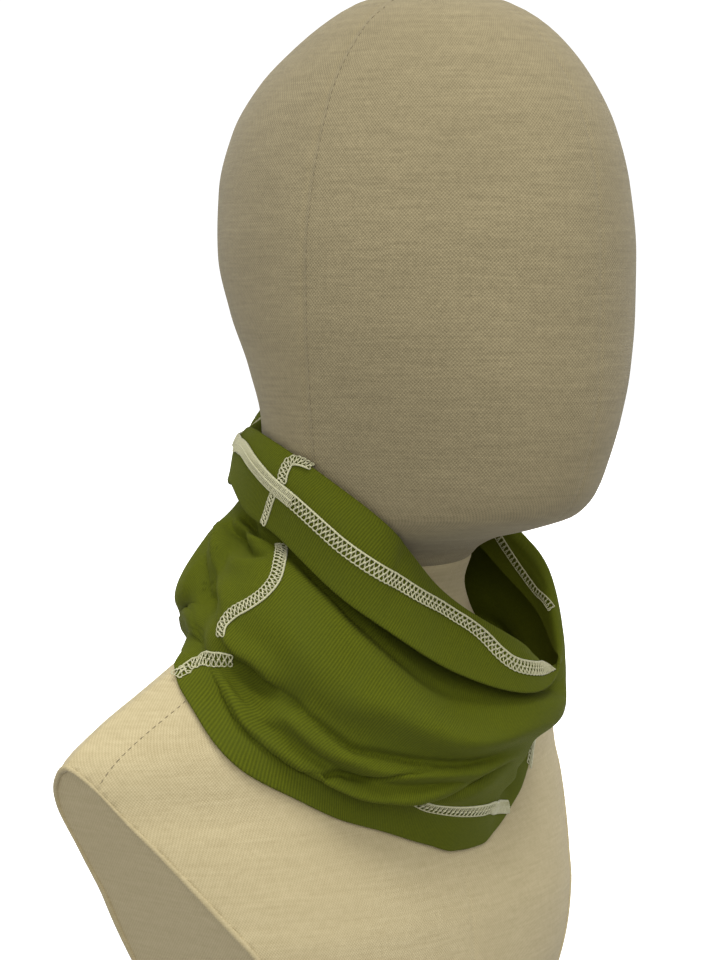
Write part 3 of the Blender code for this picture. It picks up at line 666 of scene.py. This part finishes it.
def netTree():
    # Cover stitching: thread loops drawn as an 8 across the band, a needle stitch on each crossing, and
    # a thread along each edge.
    tree, given = newTree("coverStitch", "Width", "Lobe", "Thread", "Needle", "Lower edge", "Upper edge")
    loop = addNode(tree, "GeometryNodeCurvePrimitiveCircle", {"Resolution": 14})
    along = addNode(tree, "GeometryNodeSplineParameter")
    angle = addNode(tree, "ShaderNodeMath", {0: along.outputs["Factor"], 1: 2 * math.pi},
                    operation="MULTIPLY")
    twice = addNode(tree, "ShaderNodeMath", {0: angle.outputs[0], 1: 2.0}, operation="MULTIPLY")
    wide = addNode(tree, "ShaderNodeMath", {0: twice.outputs[0]}, operation="SINE")
    tall = addNode(tree, "ShaderNodeMath", {0: angle.outputs[0]}, operation="COSINE")
    lift = addNode(tree, "ShaderNodeMath", {0: angle.outputs[0]}, operation="SINE")
    bent = addNode(tree, "ShaderNodeCombineXYZ", {0: wide.outputs[0], 1: tall.outputs[0], 2: lift.outputs[0]})
    half = addNode(tree, "ShaderNodeMath", {0: given["Width"], 1: 0.5}, operation="MULTIPLY")
    reach = addNode(tree, "ShaderNodeCombineXYZ", {0: given["Lobe"], 1: half.outputs[0], 2: given["Thread"]})
    spot = addNode(tree, "ShaderNodeVectorMath", {0: bent.outputs[0], 1: reach.outputs[0]},
                   operation="MULTIPLY")
    eight = addNode(tree, "GeometryNodeSetPosition", {"Geometry": loop.outputs[0],
                                                      "Position": spot.outputs[0]})
    yarn = addNode(tree, "GeometryNodeCurvePrimitiveCircle", {"Resolution": 4, "Radius": given["Thread"]})
    eightMesh = addNode(tree, "GeometryNodeCurveToMesh", {0: eight.outputs[0], 1: yarn.outputs[0]})
    ball = addNode(tree, "GeometryNodeMeshIcoSphere", {"Radius": 1.0, "Subdivisions": 1})
    long = addNode(tree, "ShaderNodeMath", {0: given["Needle"], 1: 2.0}, operation="MULTIPLY")
    size = addNode(tree, "ShaderNodeCombineXYZ", {0: long.outputs[0], 1: given["Needle"], 2: given["Needle"]})
    raised = addNode(tree, "ShaderNodeCombineXYZ", {2: given["Thread"]})
    dot = addNode(tree, "GeometryNodeTransform", {
        "Geometry": ball.outputs[0], "Translation": raised.outputs[0], "Scale": size.outputs[0]})
    stitch = addNode(tree, "GeometryNodeJoinGeometry")
    tree.links.new(eightMesh.outputs[0], stitch.inputs[0])
    tree.links.new(dot.outputs[0], stitch.inputs[0])
    across = addNode(tree, "GeometryNodeInputNamedAttribute", {"Name": "across"}, data_type="FLOAT_VECTOR")
    edges = []
    for label, side in (("Lower edge", 1), ("Upper edge", -1)):
        far = addNode(tree, "ShaderNodeMath", {0: given["Width"], 1: side * nets["edgeAt"]},
                      operation="MULTIPLY")
        shift = addNode(tree, "ShaderNodeVectorMath", {0: across.outputs[0], "Scale": far.outputs[0]},
                        operation="SCALE")
        moved = addNode(tree, "GeometryNodeSetPosition", {"Geometry": given["Geometry"],
                                                          "Offset": shift.outputs[0]})
        line = addNode(tree, "GeometryNodeMeshToCurve", {0: moved.outputs[0]})
        section = addNode(tree, "GeometryNodeCurvePrimitiveCircle", {"Resolution": 5, "Radius": given[label]})
        edges.append(addNode(tree, "GeometryNodeCurveToMesh", {
            0: line.outputs[0], 1: section.outputs[0], "Fill Caps": True}))
    return layStitches(tree, given, stitch, edges)


def dashTree():
    # Lockstitch: short raised stitches, end to end.
    tree, given = newTree("lockStitch", "Length", "Thread")
    ball = addNode(tree, "GeometryNodeMeshUVSphere", {"Radius": 1.0, "Segments": 6, "Rings": 4})
    half = addNode(tree, "ShaderNodeMath", {0: given["Length"], 1: 0.5}, operation="MULTIPLY")
    size = addNode(tree, "ShaderNodeCombineXYZ", {0: half.outputs[0], 1: given["Thread"], 2: given["Thread"]})
    dash = addNode(tree, "GeometryNodeTransform", {"Geometry": ball.outputs[0], "Scale": size.outputs[0]})
    return layStitches(tree, given, dash)


coverStitch, lockStitch = netTree(), dashTree()


def sewn(name, line, tree, slot, **inputs):
    # Runs the node tree on a guide line and keeps the result as a plain mesh.
    modifier = line.modifiers.new("stitching", "NODES")
    modifier.node_group = tree
    for item in tree.interface.items_tree:
        label = item.name.lower().replace(" ", "")
        if item.in_out == "INPUT" and label in inputs:
            modifier[item.identifier] = inputs[label]
    graph = bpy.context.evaluated_depsgraph_get()
    mesh = bpy.data.meshes.new_from_object(line.evaluated_get(graph), depsgraph=graph)
    mesh.name = name
    bpy.data.objects.remove(line)
    made = newObject(name, mesh)
    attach(made, "root")


def placeAt(around, length):
    # Where the line at this length along the cloth is, at one place round; below 0 it is from the bottom.
    k = np.argmin(np.abs((columns - around + 180) % 360 - 180))
    at = length + (clothLength[-1, k] if length < 0 else 0)
    return float(np.interp(at, clothLength[:, k], clothPlaces))


def seamNet(name, path, side, **changes):
    # side is 1 on the cloth's right side and -1 on the turned-over flap
    sizes = {**nets, **changes}
    course = smoothPath(path, nets["steps"] * len(path))
    spots = onGrid(clothLines, clothPlaces, course[:, 0], course[:, 1])
    square = unit(onGrid(clothNormals, clothPlaces, course[:, 0], course[:, 1])) * side
    for _ in range(nets["smoothing"]):  # a sewn band bridges small creases
        spots[1:-1] = (spots[:-2] + 2 * spots[1:-1] + spots[2:]) / 4
        square[1:-1] = unit(square[:-2] + 2 * square[1:-1] + square[2:])
    spots = spots + square * (cloth["bodyWall"] / 2 + sizes["lift"] + sizes["thread"])
    inputs = {label.lower(): sizes[label] * mm
              for label in ("width", "lobe", "thread", "needle", "lowerEdge", "upperEdge")}
    line = guide(name, spots, square, sizes["pitch"])
    sewn(name, line, coverStitch, "jersey", material=netThread, **inputs)


topHemLine = [(around, placeAt(around, cloth["hemDepth"])) for around in range(252, 108, -12)]
bottomHemLine = [(around, placeAt(around, -cloth["hemDepth"])) for around in range(146, 290, 8)]
topOverlap = ((99, 0.72), (90.3, 0.76), (79.7, 0.68), (71.7, 0.6))  # sewn twice, where the row closes
bottomOverlap = ((-12.7, 12.98), (-22, 13.3), (-33, 13.7), (-38, 13.9))
seamNet("topNet", (*topHemLine, *topOverlap, (62.5, 0.57), (53.1, 0.54), (46.4, 0.52), (38.1, 0.54),
                   (32, 0.58), (27.2, 0.62), (22.2, 0.68), (16.4, 0.76), (11, 0.79), (6.4, 0.8), (1.7, 0.74),
                   (-3, 0.6), (-8, 0.51), (-13.8, 0.54), (-20.1, 0.68), (-26, 0.98), (-29, 1.2)), -1,
        lift=0.25)
seamNet("topNetFar", ((268, 0.56), (277, 0.59), (282.2, 0.5), (288.3, 0.4), (295.4, 0.36), (301, 0.5),
                      (306, 0.68)), 1, width=3.4, lobe=0.4, thread=0.24, needle=0.3, lowerEdge=0.3)
seamNet("topNetOverlap", ((104, 0.67), *topOverlap, (64, 0.575)), -1, pitch=nets["densePitch"], lobe=0.5,
        lift=0.5)
seamNet("bottomNet", ((131, 13.97), (134, 13.93), (138, 13.8), *bottomHemLine, (290, 13.3), (294, 13.6),
                      (297, 13.88), (298.5, 13.97)), 1, lobe=0.9)
seamNet("bottomNetSide", ((96.6, 13.96), (95.6, 13.9), (94.8, 13.8), (94.9, 13.62), (94.3, 13.4), (92, 13.03),
                          (90.2, 11.5), (88.5, 10.4), (86.6, 9.6), (84, 9.15)), 1, lobe=0.9, lift=0.3)
seamNet("bottomNetFront", ((26.5, 12.8), (22.5, 12.92), (17.9, 12.95), (10, 12.95), (1, 12.93), (-6, 12.94),
                           *bottomOverlap), 1, lobe=0.25, width=5.6, upperEdge=0.3)
seamNet("bottomNetOverlap", bottomOverlap, 1, pitch=1.3, lobe=0.3, lift=0.3, width=5.4)
seamNet("sideSeamFlap", ((63.5, 1.9), (66, 1.75), (68.3, 1.45), (69.3, 1.1), (69, 0.85), (68.4, 0.72)), -1,
        width=4.4, pitch=1.9, lobe=0.95)
seamNet("sideSeamHem", ((69.5, 0.58), (71, 0.45), (72.6, 0.22), (73.8, 0.03)), -1, width=3.2, pitch=1.9,
        lobe=0.9)
seamNet("sideSeamBody", ((78.6, 6.2), (76.6, 6.55), (75.1, 6.9), (73.1, 7.34), (74.7, 7.7), (78.4, 8.02),
                         (83, 8.25), (85.3, 8.46), (85.4, 8.66)), 1, width=5.0, pitch=1.9, lobe=0.95)
print("stitching laid")


# ---- display form's covers
def ringSeamHeight(angle):
    height = np.full(angle.shape, form["ringHeight"])
    for _ in range(30):  # the seam's height and the form's front settle on each other
        front = formSection(height, angle)[1]
        height = form["ringHeight"] + form["ringSlope"] * (form["ringFront"] - front)
    return height


# the seam down each side: height, and distance in front of the neck's axis
sideSeam = np.array([(150, -9), (160, -3), (176, 4), (203, 20), (215, 22), (235, 27), (250.8, 30.6),
                     (264.5, 33.5), (284.5, 37.2), (307, 39.5), (329, 39.8), (380, 41.1), (400, 41.1),
                     (420, 43), (441, 44)], float)


def formAngles():  # closest at the two side seams and down the middle of the face
    near = np.concatenate([np.arange(80, 96, 0.6), np.arange(264, 280, 0.6)])
    wide = np.arange(0, 360, 2.2)
    wide = wide[(np.abs(wide - 88) > 9) & (np.abs(wide - 272) > 9)]
    front = np.concatenate([np.arange(0, 2.2, 0.5), np.arange(357.8, 360, 0.5)])
    return np.radians(np.unique(np.round(np.concatenate([near, wide, front]), 3)))


def coverPoints(heights, angles):
    # heights: rows x columns. Grooves run along the side seams and the face's middle.
    x, front = formSection(heights, angles[None] + 0 * heights)
    seam = np.interp(heights, sideSeam[:, 0], sideSeam[:, 1])
    onHead = np.clip((heights - form["headFrom"]) / form["headFade"], 0, 1)
    groove = form["sideGroove"] * np.exp(-(((front - seam) / form["seamWidth"]) ** 2)) * onHead
    groove += form["faceGroove"] * np.exp(-((x / form["seamWidth"]) ** 2)) * (front > form["faceFrom"])
    inwards = unit(np.stack([x, front - form["headMiddle"]], -1)) * groove[..., None]
    return x - inwards[..., 0], front - inwards[..., 1]


def coverUv(points):
    run = np.linalg.norm(np.diff(points, axis=1, append=points[:, :1]), axis=-1)[..., None]
    middle = len(points) // 2
    u = np.concatenate([[0], run[middle, :, 0].cumsum()])
    return np.stack([np.repeat(u[None], len(points), 0),
                     np.concatenate([points[..., 2], points[:, :1, 2]], 1)], -1)


def coverMesh(name, heights, angles, fromRing):
    # The cover is drawn in where it meets the seam round the neck.
    x, front = coverPoints(heights, angles)
    ahead = front - form["neckMiddle"]
    drawn = form["ringGroove"] * np.exp(-((fromRing / form["ringGrooveWidth"]) ** 2))
    share = 1 - drawn / np.hypot(x, ahead)
    points = np.stack([x * share, -(form["neckMiddle"] + ahead * share), heights], -1)
    return gridMesh(name, points, coverUv(points))


def closeEnds(mesh, pole=None):
    # A flat face over each open end, or a smooth crown at the pole.
    bm = bmesh.new()
    bm.from_mesh(mesh)
    ends = [e for e in bm.edges if e.is_boundary]
    crown = [e for e in ends if pole is not None and e.verts[0].co.z > 0.9 * pole.z]
    faces = bmesh.ops.holes_fill(bm, edges=[e for e in ends if e not in crown], sides=0)["faces"]
    for face in faces:
        face.smooth = False
    if crown:
        top = bm.verts.new(pole)
        for edge in crown:
            faces.append(bm.faces.new((*edge.verts, top)))
            faces[-1].smooth = True
    layer = bm.loops.layers.uv["thread"]
    for corner in (corner for face in faces for corner in face.loops):
        corner[layer].uv = (corner.vert.co.x / mm, corner.vert.co.y / mm)
    bmesh.ops.recalc_face_normals(bm, faces=bm.faces[:])
    return bm


def buildHead():
    angles = formAngles()
    low, ring, high = ringSeamHeight(angles), form["ringHeight"], form["high"]
    rows = np.unique(np.concatenate([np.arange(ring, 240, 1.6), np.arange(240, 436, form["rowHeight"]),
                                     [202.5, 203.2, 436, 438, high]]))
    heights = low + (rows[:, None] - ring) * (high - low) / (high - ring)
    mesh = coverMesh("headCover", heights, angles, heights - low)
    bm = closeEnds(mesh, Vector((0, neckY - form["crownFront"] * mm, form["crownHeight"] * mm)))
    bm.to_mesh(mesh)
    bm.free()
    made = plainObject("headCover", mesh, faceCanvas)
    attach(made, "root")
    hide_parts("form_head")


def buildBust():
    angles = formAngles()
    high = ringSeamHeight(angles)
    rows = np.unique(np.concatenate([np.arange(0, 196, form["rowHeight"]),
                                     [196, 198.5, 200, 201, 201.6, form["ringHeight"]]]))
    slanted = np.clip((rows[:, None] - form["levelTo"]) / (form["ringHeight"] - form["levelTo"]), 0, 1)
    heights = rows[:, None] + (high - form["ringHeight"]) * slanted
    mesh = coverMesh("bustCover", heights, angles, high - heights)
    bm = closeEnds(mesh)
    layer = bm.loops.layers.uv["thread"]
    rims = []
    for side in (-1, 1):
        place = Vector((side * form["capTopHalf"] * mm, 0, form["capTopHeight"] * mm))
        outward = Vector((side, 0, -form["capSlope"])).normalized()
        bmesh.ops.bisect_plane(bm, geom=bm.verts[:] + bm.edges[:] + bm.faces[:], dist=1e-6, plane_co=place,
                               plane_no=outward, clear_outer=True)
        edges = [e for e in bm.edges if e.is_boundary]
        rims.append([tuple(v.co) for v in loopOf(edges)])
        for face in bmesh.ops.holes_fill(bm, edges=edges, sides=0)["faces"]:
            face.smooth = False
            for corner in face.loops:
                corner[layer].uv = (corner.vert.co.y / mm, corner.vert.co.z * form["capStretch"] / mm)
    bmesh.ops.triangulate(bm, faces=[f for f in bm.faces if len(f.verts) > 4])
    bm.to_mesh(mesh)
    bm.free()
    made = plainObject("bustCover", mesh, bustCanvas)
    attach(made, "root")
    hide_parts("form_bust")
    return rims


def loopOf(edges):
    # The vertices of a closed run of edges, in order.
    left = set(edges[1:])
    first, at = edges[0].verts
    run = [first, at]
    while at is not first:
        step = next(e for e in at.link_edges if e in left)
        left.remove(step)
        at = step.other_vert(at)
        run.append(at)
    return run[:-1]


piping = {"radius": 1.5, "step": 3.0, "sunk": 0.55, "sides": 8, "sideWidth": 1.2}  # sunk: share of radius


def buildPiping(name, rim):
    ring = np.array([*rim, rim[0]])
    run = runAlong(ring)
    at = np.linspace(0, run[-1], round(run[-1] / (piping["step"] * mm)) + 1)[:-1]
    spots = readAlong(at, run, ring)
    spots[:, 2] = np.maximum(spots[:, 2], piping["radius"] * mm)
    along = unit(np.roll(spots, -1, axis=0) - np.roll(spots, 1, axis=0))
    out = unit(spots - spots.mean(0))
    up = np.cross(along, out)
    middle = spots - out * piping["radius"] * piping["sunk"] * mm
    angles = np.linspace(0, 2 * math.pi, piping["sides"], endpoint=False)[:, None, None]
    tube = middle + piping["radius"] * mm * (out * np.cos(angles) + up * np.sin(angles))
    points = (tube - (0, neckY, 0)) / mm
    u, v = np.meshgrid(np.append(at, run[-1]) / mm, np.arange(piping["sides"]) * piping["sideWidth"])
    uv = np.stack([u, v], -1)
    mesh = gridMesh(name, points, uv, closedDown=True)
    bm = bmesh.new()
    bm.from_mesh(mesh)
    bmesh.ops.recalc_face_normals(bm, faces=bm.faces[:])
    bm.to_mesh(mesh)
    bm.free()
    made = plainObject(name, mesh, bustCanvas)
    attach(made, "root")


buildHead()
for name, rim in zip(("pipingRight", "pipingLeft"), buildBust()):
    buildPiping(name, rim)


formThread = {
    "pitch": 3.4, "length": 2.38, "thread": 0.2, "lift": 0.05, "besideSeam": 2.2, "steps": 160,
    "headLow": 206, "headHigh": 436, "headPoints": 24,
    "shoulder": ((62, 0, 180), (80, 1.5, 168.5), (99.1, 2.1, 152.1), (112, 3.6, 144.5),
                 (122.7, 5.3, 137.7), (132.8, 6.7, 131.1), (139.9, 9, 122.5)),
}


def formStitches(name, slot, path):
    # path: x, y and height about the neck's axis, laid on the form
    spots = smoothPath(path, formThread["steps"])
    height, around = spots[:, 2], np.degrees(np.arctan2(-spots[:, 0], -spots[:, 1]))
    radius = formRadius(around, height)
    up = (formRadius(around, height + 1.5) - formRadius(around, height - 1.5)) / 3
    side = (formRadius(around + 1, height) - formRadius(around - 1, height)) / (math.radians(2) * radius)
    turn = np.radians(around)
    outward = np.stack([-np.sin(turn), -np.cos(turn), 0 * turn], -1)
    beside = np.stack([-np.cos(turn), np.sin(turn), 0 * turn], -1)
    square = unit(outward - beside * side[:, None] - np.array([0, 0, 1]) * up[:, None])
    spots[:, :2] *= (radius / np.hypot(spots[:, 0], spots[:, 1]))[:, None]
    line = guide(name, spots + square * formThread["lift"], square, formThread["pitch"])
    sewn(name, line, lockStitch, slot, length=formThread["length"] * mm,
         thread=formThread["thread"] * mm, material=khakiThread)


for side, word in ((-1, "Right"), (1, "Left")):
    heights = np.linspace(formThread["headLow"], formThread["headHigh"], formThread["headPoints"])
    fronts = np.interp(heights, sideSeam[:, 0], sideSeam[:, 1]) + formThread["besideSeam"]
    path = []
    for height, front in zip(heights, fronts):
        half, middle, fore = monotone(formTable[:, 0], formTable[:, 1:4], [height])[0]
        reach = (front - middle) / (fore - middle)
        path.append((side * half * math.sqrt(max(0.0, 1 - reach**2)), -front, height))
    formStitches("headStitches" + word, "head_canvas", path)
    formStitches("shoulderStitches" + word, "bust_canvas",
                 [(side * x, y, height) for x, y, height in formThread["shoulder"]])
print("form covered")

# ---- floor, light and camera
room = {
    "floor": "#ffffff", "floorGlow": 0.6, "floorHalf": 4.0,
    "domeLow": 0.32, "domeHigh": 0.9, "worldSeen": 1.1,
    "key": 1.6, "fill": 1.15, "softness": 0.6,
}
corners = [(x * room["floorHalf"], y * room["floorHalf"], 0) for x, y in ((-1, -1), (1, -1), (1, 1), (-1, 1))]
floorMesh = bpy.data.meshes.new("floor")
floorMesh.from_pydata(corners, [], [(0, 1, 2, 3)])
floorPaint, _, floorShader = startMaterial("matt white paper", 0.95)
floorShader.inputs["Base Color"].default_value = linear(room["floor"])
floorShader.inputs["Emission Color"].default_value = (1, 1, 1, 1)  # burns out to white, as in the photo
floorShader.inputs["Emission Strength"].default_value = room["floorGlow"]
floor = plainObject("floor", floorMesh, floorPaint)
floor.visible_diffuse = False  # the white floor throws no light up under the chin

world = bpy.data.worlds.new("studio")
bpy.context.scene.world = world
world.use_nodes = True
worldTree = world.node_tree
background = worldTree.nodes["Background"]
background.inputs[0].default_value = (1, 1, 1, 1)
seen = addNode(worldTree, "ShaderNodeLightPath")
sky = addNode(worldTree, "ShaderNodeTexCoord")
up = addNode(worldTree, "ShaderNodeSeparateXYZ", {0: sky.outputs["Generated"]})
dome = addNode(worldTree, "ShaderNodeMapRange", {
    "Value": up.outputs["Z"], "From Min": -0.6, "To Min": room["domeLow"], "To Max": room["domeHigh"]})
share = addNode(worldTree, "ShaderNodeMix", {
    "Factor": seen.outputs["Is Camera Ray"], 2: dome.outputs[0], 3: room["worldSeen"]})
worldTree.links.new(share.outputs[0], background.inputs[1])


def aimedObject(name, data, place, toward):
    made = newObject(name, data)
    made.location = place
    made.rotation_mode = "QUATERNION"
    made.rotation_quaternion = toward.to_track_quat("Z", "Y")
    return made


def softLight(name, toward, strength):
    data = bpy.data.lights.new(name, "SUN")
    data.energy, data.angle = strength, room["softness"]
    aimedObject(name, data, Vector((0, neckY, 0.25)) + Vector(toward), Vector(toward))


softLight("keyLight", (-0.2, -0.35, 1.2), room["key"])
softLight("fillLight", (-0.74, -0.63, 0.35), room["fill"])

view = {"azimuth": -47.0, "elevation": 4.0, "distance": 1.2, "height": 0.236, "lens": 104.65}
turn, tilt = math.radians(view["azimuth"]), math.radians(view["elevation"])
toward = Vector((math.sin(turn) * math.cos(tilt), -math.cos(turn) * math.cos(tilt), math.sin(tilt)))
cameraData = bpy.data.cameras.new("camera")
cameraData.lens, cameraData.sensor_width = view["lens"], 36.0
cameraPlace = Vector((0, neckY, view["height"])) + toward * view["distance"]
bpy.context.scene.camera = aimedObject("camera", cameraData, cameraPlace, toward)
bpy.context.scene.view_settings.view_transform = "Standard"

print("scene ready")
